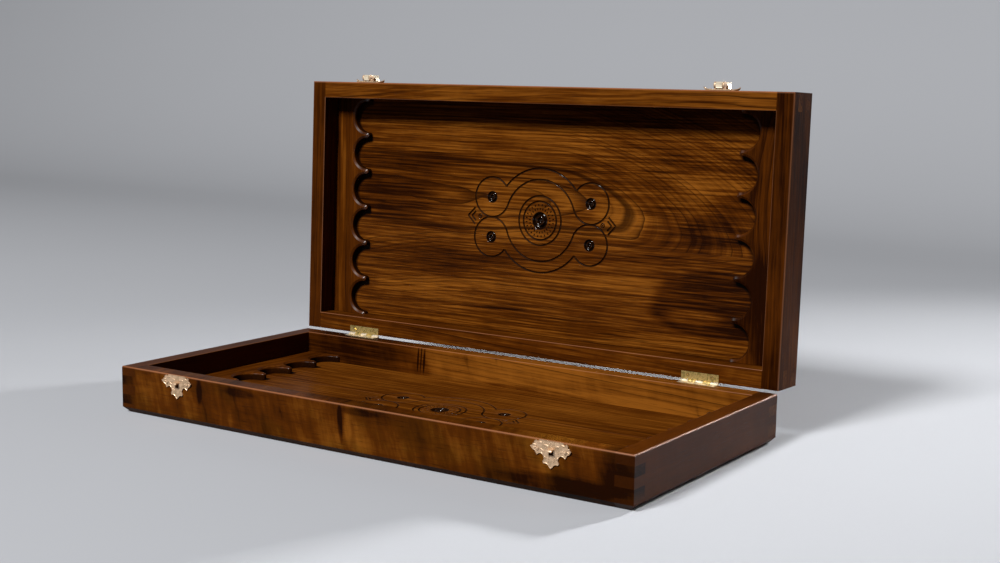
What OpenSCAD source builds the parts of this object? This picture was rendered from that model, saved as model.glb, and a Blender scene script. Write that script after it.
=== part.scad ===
// Folding backgammon board. Two trays are hinged along one long side, and each is a finger-jointed
// frame round a glued-up playing board with two rails of notches. Brass latches close the front.
// The origin is the middle of the lower tray's underside, with the hinges at the back (+Y).

/* [Board] */
// Length of the board, along the hinges
board_length = 580; // [500:5:640]
// Depth of one half, from its front face to the hinge side
half_depth = 280; // [240:5:310]
// Height of one half
half_height = 47; // [44:1:56]
// Thickness of the four walls
wall_t = 18; // [16:0.5:22]
// Gap between the two rims when the board is shut
rim_gap = 0.6; // [0.4:0.1:1]
// Angle between the two halves as the board stands open
open_angle = 92; // [0:1:120]

/* [Edges] */
// Chamfer round the outer foot of each half
foot_chamfer = 5.5; // [2:0.5:7]
// Rounding of the outer edge of the rim
rim_round = 1.6; // [0.8:0.1:2.4]
// Rounding of the rim's edge at the hinges
hinge_round = 0.4; // [0.2:0.1:1]
// Rounding of the inner edge of the rim
mouth_round = 0.8; // [0.4:0.1:1.2]
// Number of fingers in each corner joint
finger_count = 5; // [3:2:7]

/* [Playing board] */
// Thickness of the playing board, flush with the underside
panel_t = 17; // [14:0.5:20]
// Thickness of the tongue round its edge
tongue_t = 6; // [4:0.5:8]
// Depth of the tongue
tongue_depth = 6; // [4:0.5:8]
// Clearance round the playing board and its tongue
panel_clear = 0.2; // [0.1:0.05:0.4]
// Distance of the glue joint behind the middle of the playing board
joint_back = 20; // [12:1:30]

/* [Point rails] */
// Number of notches in a rail
notch_count = 6; // [5:1:7]
// Height of a rail above the playing board
rail_h = 8; // [6:0.5:11]
// Reach of a rail, from the end wall to the tips of its cusps
rail_reach = 45.5; // [40:0.5:56]
// Width of a cusp between two notches
cusp_w = 5.9; // [4:0.1:9]
// Clearance behind a rail and at its ends
rail_clear = 0.2; // [0.1:0.05:0.4]

/* [Carving] */
// Width of a carved line
line_w = 2.2; // [1.4:0.1:3]
// Depth of a carved line
line_depth = 1.2; // [0.6:0.1:1.8]
// Radius of the large centre ring
ring_r = 26; // [24:0.5:29]
// Radius of the small centre ring
small_ring_r = 20.3; // [17:0.1:22]
// Radius of the four corner loops
loop_r = 21.4; // [19:0.1:22]
// Distance of the loops from the middle, along the board
loop_x = 61; // [58:0.5:64]
// Distance of the loops from the middle, across the board
loop_y = 21.5; // [20:0.1:23]
// Radius of the outer arcs
arc_r = 55; // [52:0.5:60]
// Radius of the hollow round the centre bead
hollow_r = 9.7; // [8:0.1:11]
// Radius of the hollows round the four small beads
small_hollow_r = 6.6; // [5:0.1:8]
// Distance of the side diamonds' points from the middle
diamond_x = 90; // [88:0.5:94]
// Half height of a side diamond where it meets the loops
diamond_half = 9; // [8:0.1:10]
// Distance of the inner diamonds' points from the middle
inner_diamond_x = 85.5; // [84:0.5:86.5]
// Distance of the side stamps from the middle
stamp_x = 74; // [72:0.5:76]
// Radius of a side stamp
stamp_r = 2.2; // [1.5:0.1:3]

/* [Hinges] */
// Distance of a hinge's middle from the end of the board
hinge_inset = 82; // [60:1:150]
// Length of a hinge
hinge_l = 40; // [36:1:50]
// Number of knuckles in a hinge
knuckle_count = 5; // [3:2:7]
// Distance of the hinge axis behind the back face
hinge_out = 1.9; // [1.8:0.1:3]
// Radius of the hinge barrel
barrel_r = 1.6; // [1.4:0.1:1.7]
// Radius of the hinge pins
pin_r = 0.75; // [0.6:0.05:0.85]
// Radius of the riveted heads of the hinge pins
pin_head_r = 1.2; // [1:0.1:1.5]
// Thickness of the heads
pin_head_t = 0.8; // [0.5:0.1:1.2]
// Running clearance of a pin in its bore
pin_clear = 0.05; // [0.02:0.01:0.09]
// Width of a leaf on the rim
leaf_reach = 7.5; // [7:0.5:12]
// Thickness of a leaf
leaf_t = 1; // [0.8:0.1:1.2]
// Gap between the two leaves when the board is shut
leaf_gap = 0.4; // [0.2:0.1:0.6]
// Gap between two knuckles
knuckle_gap = 0.25; // [0.15:0.05:0.4]
// Distance of the screws from the middle of a leaf
screw_x = 13; // [10:0.5:15]
// Radius of a screw's head
screw_head_r = 2.1; // [1.8:0.1:2.5]
// Radius of a screw's shank
screw_r = 1.1; // [0.9:0.1:1.3]
// Length of a screw
screw_l = 12; // [8:1:16]

/* [Latches] */
// Distance of a latch's middle from the end of the board
latch_inset = 77; // [40:1:140]
// Width of an ornamental plate
plate_w = 39; // [34:1:46]
// Height of an ornamental plate
plate_drop = 23; // [20:0.5:27]
// Thickness of an ornamental plate
plate_t = 1; // [0.8:0.1:1.4]
// Distance of a plate's straight edge from the rim
plate_edge = 0.4; // [0.2:0.1:0.8]
// Radius of a nail's head
nail_head_r = 1.5; // [1.2:0.1:2]
// Radius of a nail
nail_r = 0.6; // [0.5:0.05:0.8]
// Length of a nail
nail_l = 11; // [8:1:14]
// Clearance of nails and screws in their holes
hole_clear = 0.05; // [0.02:0.01:0.1]
// Width of a hasp
hasp_w = 10.8; // [10:0.2:14]
// Distance of the hasp's axis from the face of the wall
axis_out = 4.9; // [4.6:0.1:5.6]
// Distance of the hasp's axis from the rim
axis_in = 1.8; // [1.4:0.1:2.6]
// Radius of the pin through a hasp
hasp_pin_r = 1.1; // [0.8:0.05:1.3]
// Thickness of the two ears that hold the pin
ear_t = 1.8; // [1.2:0.1:2.2]
// Gap between a knuckle or hasp and what it swings beside
swing_gap = 0.3; // [0.2:0.05:0.4]
// Gap between a folded hasp and its plate
rest_gap = 0.3; // [0.2:0.05:0.5]
// Gap between a shut hasp and the lower plate
shut_gap = 0.6; // [0.4:0.1:0.9]
// Distance of the bill's middle below the rim
bill_down = 7.75; // [7:0.25:9]
// Height of the bill
bill_h = 2.1; // [1.6:0.1:2.4]
// Width of the bill
bill_w = 6; // [4:0.2:6.4]
// Thickness of the bill
bill_t = 1.3; // [1:0.1:1.5]
// Height of the opening punched in the plate below the bill
punch_h = 4.5; // [3:0.5:6]
// Width of that opening
punch_w = 4.4; // [3:0.2:5]
// Room above the bill, where it swings out of the window
room_above = 0.95; // [0.8:0.05:1.2]
// Room below the bill and beside it in the window
room_beside = 0.4; // [0.3:0.05:0.7]
// Wall of the hasp round the window
window_wall = 1.4; // [1:0.1:2]
// Thickness of the strap between the hasp's knuckle and its body
strap_t = 1.4; // [1:0.1:1.8]
// Radius of the lip at the hasp's free end
lip_r = 1.1; // [0.8:0.1:1.4]

/* [Hidden] */
$fn = 96;

wood = "#5a3116";
rail_wood = "#6b3d1c";
brass = "#c9973f";
plate_brass = "#d8b28a";

LEFT = -1;
RIGHT = 1;
cut = 1;
round_steps = 4;

inner_l = board_length - 2 * wall_t;
inner_d = half_depth - 2 * wall_t;
finger_h = half_height / finger_count;
groove_reach = tongue_depth + panel_clear;
groove_h = tongue_t + 2 * panel_clear;

pitch = inner_d / notch_count;
notch_r = (pitch - cusp_w) / 2;
notch_line = rail_reach - cusp_w / 2;
tip_r = 0.58 * cusp_w;
rail_l = inner_d - 2 * rail_clear;

loop_far = norm([loop_x, loop_y]);
loop_angle = atan2(loop_y, loop_x);
inner_arc_r = loop_far - loop_r;
cusp_along = (loop_far * loop_far + arc_r * arc_r - loop_r * loop_r) / (2 * loop_far);
cusp_angle = loop_angle + acos(cusp_along / arc_r);
cusp_point = arc_r * [cos(cusp_angle), sin(cusp_angle)];
loop_start = 180 + loop_angle;
loop_end = 360 + atan2(cusp_point.y - loop_y, cusp_point.x - loop_x);

hinge_x = board_length / 2 - hinge_inset;
latch_x = board_length / 2 - latch_inset;
seam_z = half_height + rim_gap / 2;
hinge_y = half_depth / 2 + hinge_out;
bore_r = pin_r + pin_clear;
leaf_top = seam_z - leaf_gap / 2;
leaf_front = half_depth / 2 - leaf_reach;
screw_y = half_depth / 2 - leaf_reach * 0.55;
knuckle_l = hinge_l / knuckle_count;
BASE_KNUCKLES = [for (i = [0:2:knuckle_count - 1]) i];
LID_KNUCKLES = [for (i = [1:2:knuckle_count - 1]) i];

nail_x = 0.34 * plate_w;
nail_down = 0.35 * plate_drop;
knuckle_r = axis_out - plate_t - shut_gap;
ear_r = knuckle_r - 0.1;
knuckle_w = hasp_w - 2 * ear_t - 2 * swing_gap;
hasp_bore_r = hasp_pin_r + pin_clear;
strap_top = knuckle_r - 0.2;
foot_low = -(axis_out - plate_t - rest_gap);
bill_reach = rim_gap + axis_in + bill_down;
window_near = bill_reach - bill_h / 2 - room_above;
window_far = bill_reach + bill_h / 2 + room_beside;
body_near = ear_r + swing_gap + 0.1;
body_far = window_far + window_wall;
arch_r = (window_near - window_wall * 0.65 - body_near + 0.8) / 2;
arch_mid = window_near - window_wall * 0.65 - arch_r;

// Half of the plate's outline, from the straight edge down to the point, in shares of its size
PLATE_EDGE = [
    [0.56, 0], [0.66, 0.08], [0.74, 0.03], [0.83, 0.09], [0.82, 0.17], [1, 0.27], [0.9, 0.38],
    [0.79, 0.43], [0.7, 0.57], [0.59, 0.5], [0.47, 0.49], [0.38, 0.56], [0.33, 0.67],
    [0.4, 0.78], [0.36, 0.84], [0.23, 0.84], [0.14, 0.88], [0.08, 0.95]
];

// The quarter circle that rounds the right corner of a rim
function rim_arc(span, r) = [
    for (k = [0:round_steps])
        [span / 2 + r * (cos(90 * k / round_steps) - 1), half_height + r * (sin(90 * k / round_steps) - 1)]
];

// Cross outline of a half: chamfered at the foot and rounded at the rim
module half_outline(span, right_round) {
    left = rim_arc(span, rim_round);
    polygon(concat(
        [[-span / 2 + foot_chamfer, 0], [span / 2 - foot_chamfer, 0], [span / 2, foot_chamfer]],
        rim_arc(span, right_round),
        [for (k = [round_steps:-1:0]) [-left[k].x, left[k].y]],
        [[-span / 2, foot_chamfer]]
    ));
}

// Cross outline of the hollow of a half, which widens at the rim with a rounded edge
module hollow_outline(span) {
    arc = [for (k = [0:round_steps]) mouth_round * [1 - cos(90 * k / round_steps), sin(90 * k / round_steps) - 1]];
    right = [for (p = arc) [span / 2 + p.x, half_height + p.y]];
    polygon(concat(
        [[-span / 2, -cut], [span / 2, -cut]],
        right,
        [[span / 2 + mouth_round, half_height + cut], [-span / 2 - mouth_round, half_height + cut]],
        [for (k = [round_steps:-1:0]) [-right[k].x, right[k].y]]
    ));
}

// A block with its first child as cross outline along X and its second along Y
module crossed(length, depth) {
    intersection() {
        rotate([90, 0, 0]) linear_extrude(depth, center = true) children(0);
        rotate([90, 0, 90]) linear_extrude(length, center = true) children(1);
    }
}

// The four walls in one piece, with the groove for the tongue of the playing board
module wall_ring() {
    difference() {
        crossed(board_length, half_depth) {
            half_outline(board_length, rim_round);
            half_outline(half_depth, hinge_round);
        }
        crossed(board_length, half_depth) {
            hollow_outline(inner_l);
            hollow_outline(inner_d);
        }
        translate([0, 0, panel_t / 2])
            cube([inner_l + 2 * groove_reach, inner_d + 2 * groove_reach, groove_h], center = true);
    }
}

// The room of a long wall at the front: the wall and its own fingers at both corners
module long_wall_room() {
    bare_l = board_length - 2 * wall_t;
    translate([-bare_l / 2, -half_depth / 2, 0]) cube([bare_l, wall_t, half_height]);
    for (i = [1:2:finger_count - 1])
        translate([-board_length / 2, -half_depth / 2, i * finger_h]) cube([board_length, wall_t, finger_h]);
}

// The room of the right end wall, whose fingers are the first, the last and each second one
module end_wall_room() {
    translate([board_length / 2 - wall_t, -inner_d / 2, 0]) cube([wall_t, inner_d, half_height]);
    for (i = [0:2:finger_count - 1])
        translate([board_length / 2 - wall_t, -half_depth / 2, i * finger_h]) cube([wall_t, half_depth, finger_h]);
}

module front_wall() {
    color(wood) difference() {
        intersection() {
            wall_ring();
            long_wall_room();
        }
        for (side = [LEFT, RIGHT]) at_latch(side) at_nails()
            translate([0, 0, -nail_l]) cylinder(r = nail_r + hole_clear, h = nail_l + cut);
    }
}

module back_wall() {
    color(wood) difference() {
        intersection() {
            wall_ring();
            mirror([0, 1, 0]) long_wall_room();
        }
        for (side = [LEFT, RIGHT]) translate([side * hinge_x, 0, 0]) {
            translate([-hinge_l / 2 - panel_clear, leaf_front - panel_clear, leaf_top - leaf_t])
                cube([hinge_l + 2 * panel_clear, leaf_reach + cut + panel_clear, leaf_t + cut]);
            at_screws() translate([0, 0, -screw_l - cut])
                cylinder(r = screw_r + hole_clear, h = screw_l + 2 * cut);
        }
    }
}

module end_wall(side) {
    color(wood) mirror([side == LEFT ? 1 : 0, 0, 0]) intersection() {
        wall_ring();
        end_wall_room();
    }
}

// The whole playing board with its tongue, before it is cut into planks and carved
module panel() {
    translate([0, 0, panel_t / 2]) {
        cube([inner_l - 2 * panel_clear, inner_d - 2 * panel_clear, panel_t], center = true);
        cube([inner_l + 2 * tongue_depth, inner_d + 2 * tongue_depth, tongue_t], center = true);
    }
}

module front_plank() {
    plank(-half_depth / 2, joint_back);
}

module back_plank() {
    plank(joint_back, half_depth / 2);
}

module plank(near, far) {
    color(wood) difference() {
        intersection() {
            panel();
            translate([-board_length / 2, near, -cut]) cube([board_length, far - near, panel_t + 2 * cut]);
        }
        translate([0, 0, panel_t]) medallion();
    }
}

// Section of a carved line, with its upper edge on the surface
module line_section() {
    polygon([[-line_w / 2, cut], [-line_w / 2, 0], [0, -line_depth], [line_w / 2, 0], [line_w / 2, cut]]);
}

module carved_arc(r, from, to) {
    rotate(from) rotate_extrude(angle = to - from) translate([r, 0]) line_section();
}

module carved_ring(r) {
    rotate_extrude() translate([r, 0]) line_section();
}

module carved_line(p, q) {
    translate([p.x, p.y, 0]) rotate([0, 0, atan2(q.y - p.y, q.x - p.x)])
        rotate([90, 0, 90]) linear_extrude(norm(q - p)) line_section();
}

// A bead in a round hollow, with a pricked centre
module bead(r) {
    rotate_extrude() polygon([
        [0, cut], [r, cut], [r, 0], [0.78 * r, -1.5 * line_depth], [0.56 * r, -line_depth],
        [0.36 * r, -0.35 * line_depth], [0.16 * r, -0.35 * line_depth], [0, -1.2 * line_depth]
    ]);
}

// The carved medallion: two rings, two double arcs that run into four loops, and beads
module medallion() {
    carved_ring(ring_r);
    carved_ring(small_ring_r);
    bead(hollow_r);
    for (my = [0, 1], mx = [0, 1]) mirror([0, my, 0]) mirror([mx, 0, 0]) {
        translate([loop_x, loop_y, 0]) {
            carved_arc(loop_r, loop_start, loop_end);
            bead(small_hollow_r);
        }
        carved_line([stamp_x + 5, diamond_half], [diamond_x, 0]);
        carved_line([stamp_x + 6.5, 0.5 * diamond_half], [inner_diamond_x, 0]);
    }
    for (my = [0, 1]) mirror([0, my, 0]) {
        carved_arc(inner_arc_r, loop_angle, 180 - loop_angle);
        carved_arc(arc_r, cusp_angle, 180 - cusp_angle);
    }
    for (side = [LEFT, RIGHT]) translate([side * stamp_x, 0, -line_depth])
        cylinder(r1 = stamp_r / 3, r2 = stamp_r, h = line_depth + 0.2);
}

// Plan of the right rail, from the end wall's face inwards: half-round notches between cusps
module rail_outline() {
    difference() {
        intersection() {
            union() {
                translate([rail_clear, -inner_d / 2]) square([notch_line - rail_clear, inner_d]);
                for (i = [0:notch_count])
                    translate([rail_reach - tip_r, (i - notch_count / 2) * pitch]) circle(tip_r);
            }
            translate([0, -rail_l / 2]) square([rail_reach + cut, rail_l]);
        }
        for (i = [0:notch_count - 1])
            translate([notch_line, (i + 0.5 - notch_count / 2) * pitch]) circle(notch_r);
    }
}

module rail(side) {
    color(rail_wood) mirror([side == RIGHT ? 1 : 0, 0, 0])
        translate([-inner_l / 2, 0, panel_t]) linear_extrude(rail_h) rail_outline();
}

// The hinge pattern: two screws to a leaf, whose tops are flush with it
module at_screws() {
    for (x = [-screw_x, screw_x]) translate([x, screw_y, leaf_top]) children();
}

module screw_shape(clear) {
    rotate_extrude() polygon([
        [0, 0], [screw_head_r + clear, 0], [screw_r + clear, -leaf_t], [screw_r + clear, -screw_l + 2], [0, -screw_l]
    ]);
}

module hinge_screws() {
    color(brass) for (side = [LEFT, RIGHT]) translate([side * hinge_x, 0, 0]) at_screws() screw_shape(0);
}

// A leaf on the rim with those knuckles that are its own
module hinge_leaf(side, own) {
    plate_end = hinge_y - barrel_r - swing_gap;
    root_end = hinge_y - bore_r - 0.35;
    color(brass) translate([side * hinge_x, 0, 0]) difference() {
        union() {
            translate([-hinge_l / 2, leaf_front, leaf_top - leaf_t])
                cube([hinge_l, plate_end - leaf_front, leaf_t]);
            for (i = own) translate([-hinge_l / 2 + i * knuckle_l + knuckle_gap / 2, 0, 0]) {
                translate([0, hinge_y, seam_z]) rotate([0, 90, 0])
                    cylinder(r = barrel_r, h = knuckle_l - knuckle_gap);
                translate([0, plate_end - cut, leaf_top - leaf_t])
                    cube([knuckle_l - knuckle_gap, root_end - plate_end + cut, leaf_t]);
            }
        }
        translate([-hinge_l, hinge_y, seam_z]) rotate([0, 90, 0]) cylinder(r = bore_r, h = 2 * hinge_l);
        at_screws() translate([0, 0, 0.001]) screw_shape(hole_clear);
    }
}

module hinge_pin(side) {
    color(brass) translate([side * hinge_x, hinge_y, seam_z]) rotate([0, 90, 0]) {
        cylinder(r = pin_r, h = hinge_l + pin_head_t, center = true);
        for (end = [-1, 1]) translate([0, 0, end * (hinge_l + pin_head_t) / 2])
            cylinder(r = pin_head_r, h = pin_head_t, center = true);
    }
}

// A latch's own frame: the plate's straight edge, with Y up the wall and Z out of it
module at_latch(side) {
    translate([side * latch_x, -half_depth / 2, half_height - plate_edge]) rotate([90, 0, 0]) children();
}

module at_nails() {
    for (x = [-nail_x, nail_x]) translate([x, -nail_down, plate_t]) children();
}

module at_hasp_axis() {
    translate([0, plate_edge - axis_in, axis_out]) children();
}

module plate_outline() {
    half = [for (p = PLATE_EDGE) [p.x * plate_w / 2, -p.y * plate_drop]];
    polygon(concat(
        half,
        [[0, -plate_drop]],
        [for (i = [len(half) - 1:-1:0]) [-half[i].x, half[i].y]]
    ));
}

// A pierced plate, the same stamping for both halves
module plate() {
    difference() {
        linear_extrude(plate_t) plate_outline();
        at_nails() translate([0, 0, -plate_t - cut]) cylinder(r = nail_r + hole_clear, h = plate_t + 2 * cut);
    }
}

module nail() {
    translate([0, 0, -nail_l + plate_t]) cylinder(r = nail_r, h = nail_l - plate_t + 0.1);
    rotate_extrude() polygon([[0, 0], [nail_head_r, 0], [0.75 * nail_head_r, 0.5], [0.35 * nail_head_r, 0.75], [0, 0.8]]);
}

module nails() {
    color(plate_brass) for (side = [LEFT, RIGHT]) at_latch(side) at_nails() nail();
}

// The lower plate with its bill, a tongue that turns down at the tip, and the opening punched below it
module keeper(side) {
    bill_top = plate_edge - bill_down + bill_h / 2;
    turn_r = bill_h - bill_t;
    straight = axis_out - plate_t - bill_h + 0.6;
    color(plate_brass) at_latch(side) {
        difference() {
            plate();
            translate([-punch_w / 2, bill_top - bill_t - punch_h, -cut])
                cube([punch_w, punch_h, plate_t + 2 * cut]);
        }
        translate([-bill_w / 2, bill_top - bill_t, plate_t / 2])
            cube([bill_w, bill_t, plate_t / 2 + straight]);
        translate([-bill_w / 2, bill_top - bill_h, plate_t + straight]) rotate([90, 0, 90])
            rotate_extrude(angle = 90) translate([turn_r, 0]) square([bill_t, bill_w]);
    }
}

// The upper plate with two ears for the pin
module latch_plate(side) {
    color(plate_brass) at_latch(side) difference() {
        union() {
            plate();
            for (x = [-hasp_w / 2, hasp_w / 2 - ear_t]) translate([x, 0, 0]) {
                at_hasp_axis() rotate([0, 90, 0]) cylinder(r = ear_r, h = ear_t);
                translate([0, plate_edge - axis_in - 0.75 * ear_r, plate_t / 2])
                    cube([ear_t, 0.75 * ear_r + axis_in - plate_edge - 0.3, axis_out - plate_t / 2]);
            }
        }
        at_hasp_axis() rotate([0, 90, 0]) cylinder(r = hasp_pin_r + hole_clear, h = 2 * hasp_w, center = true);
    }
}

module hasp_pin(side) {
    color(plate_brass) at_latch(side) at_hasp_axis() rotate([0, 90, 0])
        cylinder(r = hasp_pin_r, h = hasp_w, center = true);
}

// The hasp, folded back on its plate: a knuckle, an arched body and a window for the bill
module hasp(side) {
    color(plate_brass) at_latch(side) at_hasp_axis() difference() {
        union() {
            rotate([0, 90, 0]) cylinder(r = knuckle_r, h = knuckle_w, center = true);
            translate([-knuckle_w / 2, -body_near - cut, strap_top - strap_t])
                cube([knuckle_w, body_near + cut, strap_t]);
            translate([-hasp_w / 2, -body_far, foot_low])
                cube([hasp_w, body_far - body_near, strap_top - foot_low]);
            translate([-hasp_w / 2, -body_far, foot_low + lip_r]) rotate([0, 90, 0])
                cylinder(r = lip_r, h = hasp_w);
        }
        rotate([0, 90, 0]) cylinder(r = hasp_bore_r, h = 2 * hasp_w, center = true);
        translate([0, -arch_mid, -0.9 * arch_r]) rotate([0, 90, 0])
            cylinder(r = arch_r, h = 2 * hasp_w, center = true);
        translate([-bill_w / 2 - room_beside, -window_far, foot_low - cut])
            cube([bill_w + 2 * room_beside, window_far - window_near, strap_top - foot_low + 2 * cut]);
    }
}

// Turns a piece of the lower half into one of the upper half, as it stands open
module upper() {
    translate([0, hinge_y, seam_z]) rotate([-open_angle, 0, 0]) translate([0, -hinge_y, seam_z])
        mirror([0, 0, 1]) children();
}

front_wall();  // base_front_wall
back_wall();  // base_back_wall
end_wall(LEFT);  // base_left_wall
end_wall(RIGHT);  // base_right_wall
front_plank();  // base_front_plank
back_plank();  // base_back_plank
rail(LEFT);  // base_left_rail
rail(RIGHT);  // base_right_rail
keeper(LEFT);  // left_keeper
keeper(RIGHT);  // right_keeper
nails();  // keeper_nails
hinge_leaf(LEFT, BASE_KNUCKLES);  // base_left_hinge_leaf
hinge_leaf(RIGHT, BASE_KNUCKLES);  // base_right_hinge_leaf
hinge_screws();  // base_hinge_screws
hinge_pin(LEFT);  // left_hinge_pin
hinge_pin(RIGHT);  // right_hinge_pin
upper() front_wall();  // lid_front_wall
upper() back_wall();  // lid_back_wall
upper() end_wall(LEFT);  // lid_left_wall
upper() end_wall(RIGHT);  // lid_right_wall
upper() front_plank();  // lid_front_plank
upper() back_plank();  // lid_back_plank
upper() rail(LEFT);  // lid_left_rail
upper() rail(RIGHT);  // lid_right_rail
upper() hinge_leaf(LEFT, LID_KNUCKLES);  // lid_left_hinge_leaf
upper() hinge_leaf(RIGHT, LID_KNUCKLES);  // lid_right_hinge_leaf
upper() hinge_screws();  // lid_hinge_screws
upper() latch_plate(LEFT);  // left_latch_plate
upper() latch_plate(RIGHT);  // right_latch_plate
upper() nails();  // latch_nails
upper() hasp_pin(LEFT);  // left_hasp_pin
upper() hasp_pin(RIGHT);  // right_hasp_pin
upper() hasp(LEFT);  // left_hasp
upper() hasp(RIGHT);  // right_hasp
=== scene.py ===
"""Folding backgammon board in dark walnut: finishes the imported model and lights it."""

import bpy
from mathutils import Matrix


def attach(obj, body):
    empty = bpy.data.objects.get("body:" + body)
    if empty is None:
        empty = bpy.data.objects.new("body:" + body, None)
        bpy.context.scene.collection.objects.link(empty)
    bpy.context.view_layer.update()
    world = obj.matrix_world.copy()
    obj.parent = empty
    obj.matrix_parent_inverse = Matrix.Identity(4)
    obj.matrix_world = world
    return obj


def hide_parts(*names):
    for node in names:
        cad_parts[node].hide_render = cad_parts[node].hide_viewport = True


bl_info = {
    "name": "Folding Backgammon Board",
    "version": (1, 0, 0),
    "blender": (4, 5, 0),
    "location": "3D View > Sidebar > Board",
    "description": "Carved playing boards, point rails and brass latches round the packed model",
    "category": "Object",
}

import math
from dataclasses import dataclass

import bmesh
import bpy
from bpy.props import FloatProperty, FloatVectorProperty, IntProperty, PointerProperty
from mathutils import Matrix, Vector

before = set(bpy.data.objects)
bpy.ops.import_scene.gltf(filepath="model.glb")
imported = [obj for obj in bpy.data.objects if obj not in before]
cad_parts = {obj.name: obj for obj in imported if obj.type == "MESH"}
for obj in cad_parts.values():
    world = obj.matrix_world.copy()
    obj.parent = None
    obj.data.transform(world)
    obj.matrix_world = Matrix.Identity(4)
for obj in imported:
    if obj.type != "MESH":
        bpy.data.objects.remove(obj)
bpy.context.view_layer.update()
MM = 0.001

# Sizes in metres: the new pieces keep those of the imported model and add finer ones
BOARD_L = 580 * MM
HALF_D = 280 * MM
HALF_H = 47 * MM
WALL_T = 18 * MM
INNER_L = BOARD_L - 2 * WALL_T
INNER_D = HALF_D - 2 * WALL_T
SEAM_Z = 47.3 * MM
HINGE_Y = 141.9 * MM
OPEN_ANGLE = math.radians(92)

# Playing boards and point rails
PANEL_T = 17 * MM
PANEL_CLEAR = 0.2 * MM
PANEL_EASE = 0.3 * MM
TONGUE_T = 6 * MM
TONGUE_DEPTH = 6 * MM
JOINT_BACK = 20 * MM
NOTCHES = 6
PITCH = INNER_D / NOTCHES
RAIL_H = 8 * MM
RAIL_REACH = 45.5 * MM
RAIL_SPARE = 8 * MM
CUSP_W = 5.9 * MM
NOTCH_R = (PITCH - CUSP_W) / 2
TIP_STEPS = 12
NOTCH_STEPS = 30

# Carving, where the beads' reach and depth are shares of their hollow's radius
RING_RADII = (26 * MM, 20.3 * MM)
TICK_RADII = (12.4 * MM, 16.6 * MM)
LOOP_R = 21.4 * MM
LOOP_X = 61 * MM
LOOP_Y = 21.5 * MM
ARC_R = 55 * MM
HOLLOW_R = 9.7 * MM
SMALL_HOLLOW_R = 6.6 * MM
STAMP_X = 76 * MM
STAMP_R = 2.9 * MM
BEAD_STEPS = 18
BEAD_REACH = 0.85
BEAD_DEPTH = 0.3
GOUGE_SIDES = 8
ARC_STEP = math.radians(5)

# Hinges and their screws
HINGE_X = 208 * MM
LEAF_TOP = SEAM_Z - 0.2 * MM
LEAF_T = 1 * MM
SCREW_X = 13 * MM
SCREW_Y = HALF_D / 2 - 4.125 * MM
SCREW_HEAD_R = 2.1 * MM
SCREW_R = 1.1 * MM
SCREW_L = 12 * MM
SCREW_TIP_L = 2 * MM
SCREW_TIP_SHARE = 0.15
SLOT_W = 0.6 * MM
SLOT_H = 1.1 * MM
SLOT_TURNS = (0.5, 1.4, 2.3, 3.2)

# Latch plates and their nails
LATCH_X = 213 * MM
PLATE_W = 39 * MM
PLATE_DROP = 23 * MM
PLATE_T = 1 * MM
PLATE_EDGE = 0.4 * MM
PLATE_RIM = 0.25 * MM
PLATE_SLOPE = 0.35 * MM
PLATE_SINK = 0.3 * MM
PLATE_FACET = 2 * MM
EMBOSS_Z = 0.65 * MM
EMBOSS_H = 0.5 * MM
KEEPER_CURL = 0.9 * MM
CURL_FROM = 0.74
CURL_POWER = 1.6
NAIL_R = 0.65 * MM
NAIL_X = 0.34 * PLATE_W
NAIL_Y = -0.35 * PLATE_DROP

# Hasps, their pins' ears and the bills that they drop over
HASP_W = 10.8 * MM
HASP_EASE = 0.3 * MM
AXIS_OUT = 4.9 * MM
AXIS_DOWN = 1.4 * MM
EAR_T = 1.8 * MM
EAR_R = 3.2 * MM
EAR_EASE = 0.25 * MM
KNUCKLE_R = 3.3 * MM
KNUCKLE_W = 6.6 * MM
BORE_R = 1.15 * MM
STRAP_TOP = 3.1 * MM
STRAP_T = 1.4 * MM
FOOT_LOW = -3.6 * MM
BODY_NEAR = 3.6 * MM
WINDOW_NEAR = 8.15 * MM
WINDOW_FAR = 11.6 * MM
WINDOW_ROOM = 0.4 * MM
WINDOW_WALL = 0.91 * MM
ARCH_BITE = 0.8 * MM
ARCH_DROP = 0.9
BODY_FAR = 13 * MM
LIP_R = 1.1 * MM
BILL_DOWN = 7.75 * MM
BILL_H = 2.1 * MM
BILL_W = 6 * MM
BILL_T = 1.3 * MM
BILL_ROUND = 1 * MM
BILL_EASE = 0.2 * MM
SHUT_GAP = 0.6 * MM
PUNCH_H = 4.5 * MM
PUNCH_W = 4.4 * MM

# Where the lines of a diamond start, along and aside, and where they meet
DIAMOND_LINES = ((82.5 * MM, 9 * MM, 91.6 * MM), (81.5 * MM, 5 * MM, 86.6 * MM))

# Each step of the bevel along a rail, inwards and up, in shares of its width
RAIL_BEVEL = ((0.04, 0.14), (0.1, 0.12), (0.09, 0.06), (0.6, 0.37), (0.09, 0.06), (0.08, 0.01))

# Half of the latch plates' outline, from the straight edge down to the point, in shares of its size
PLATE_SHARES = (
    (0.56, 0), (0.66, 0.08), (0.74, 0.03), (0.83, 0.09), (0.82, 0.17), (1, 0.27), (0.9, 0.38),
    (0.79, 0.43), (0.7, 0.57), (0.59, 0.5), (0.47, 0.49), (0.38, 0.56), (0.33, 0.67),
    (0.4, 0.78), (0.36, 0.84), (0.23, 0.84), (0.14, 0.88), (0.08, 0.95),
)

# The leaves embossed on one half of a plate, in millimetres and degrees: middle, half length,
# half width and turn
PLATE_LEAVES = (
    (11.2, -2.6, 2.6, 0.95, -12), (15.6, -5.0, 2.2, 0.9, 20), (16.0, -7.4, 1.7, 0.8, -25),
    (8.6, -8.6, 3.0, 1.0, 28), (5.0, -4.4, 3.2, 1.1, 8), (2.8, -16.0, 2.6, 0.85, 74),
    (5.6, -14.2, 1.7, 0.8, 40),
)

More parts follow.
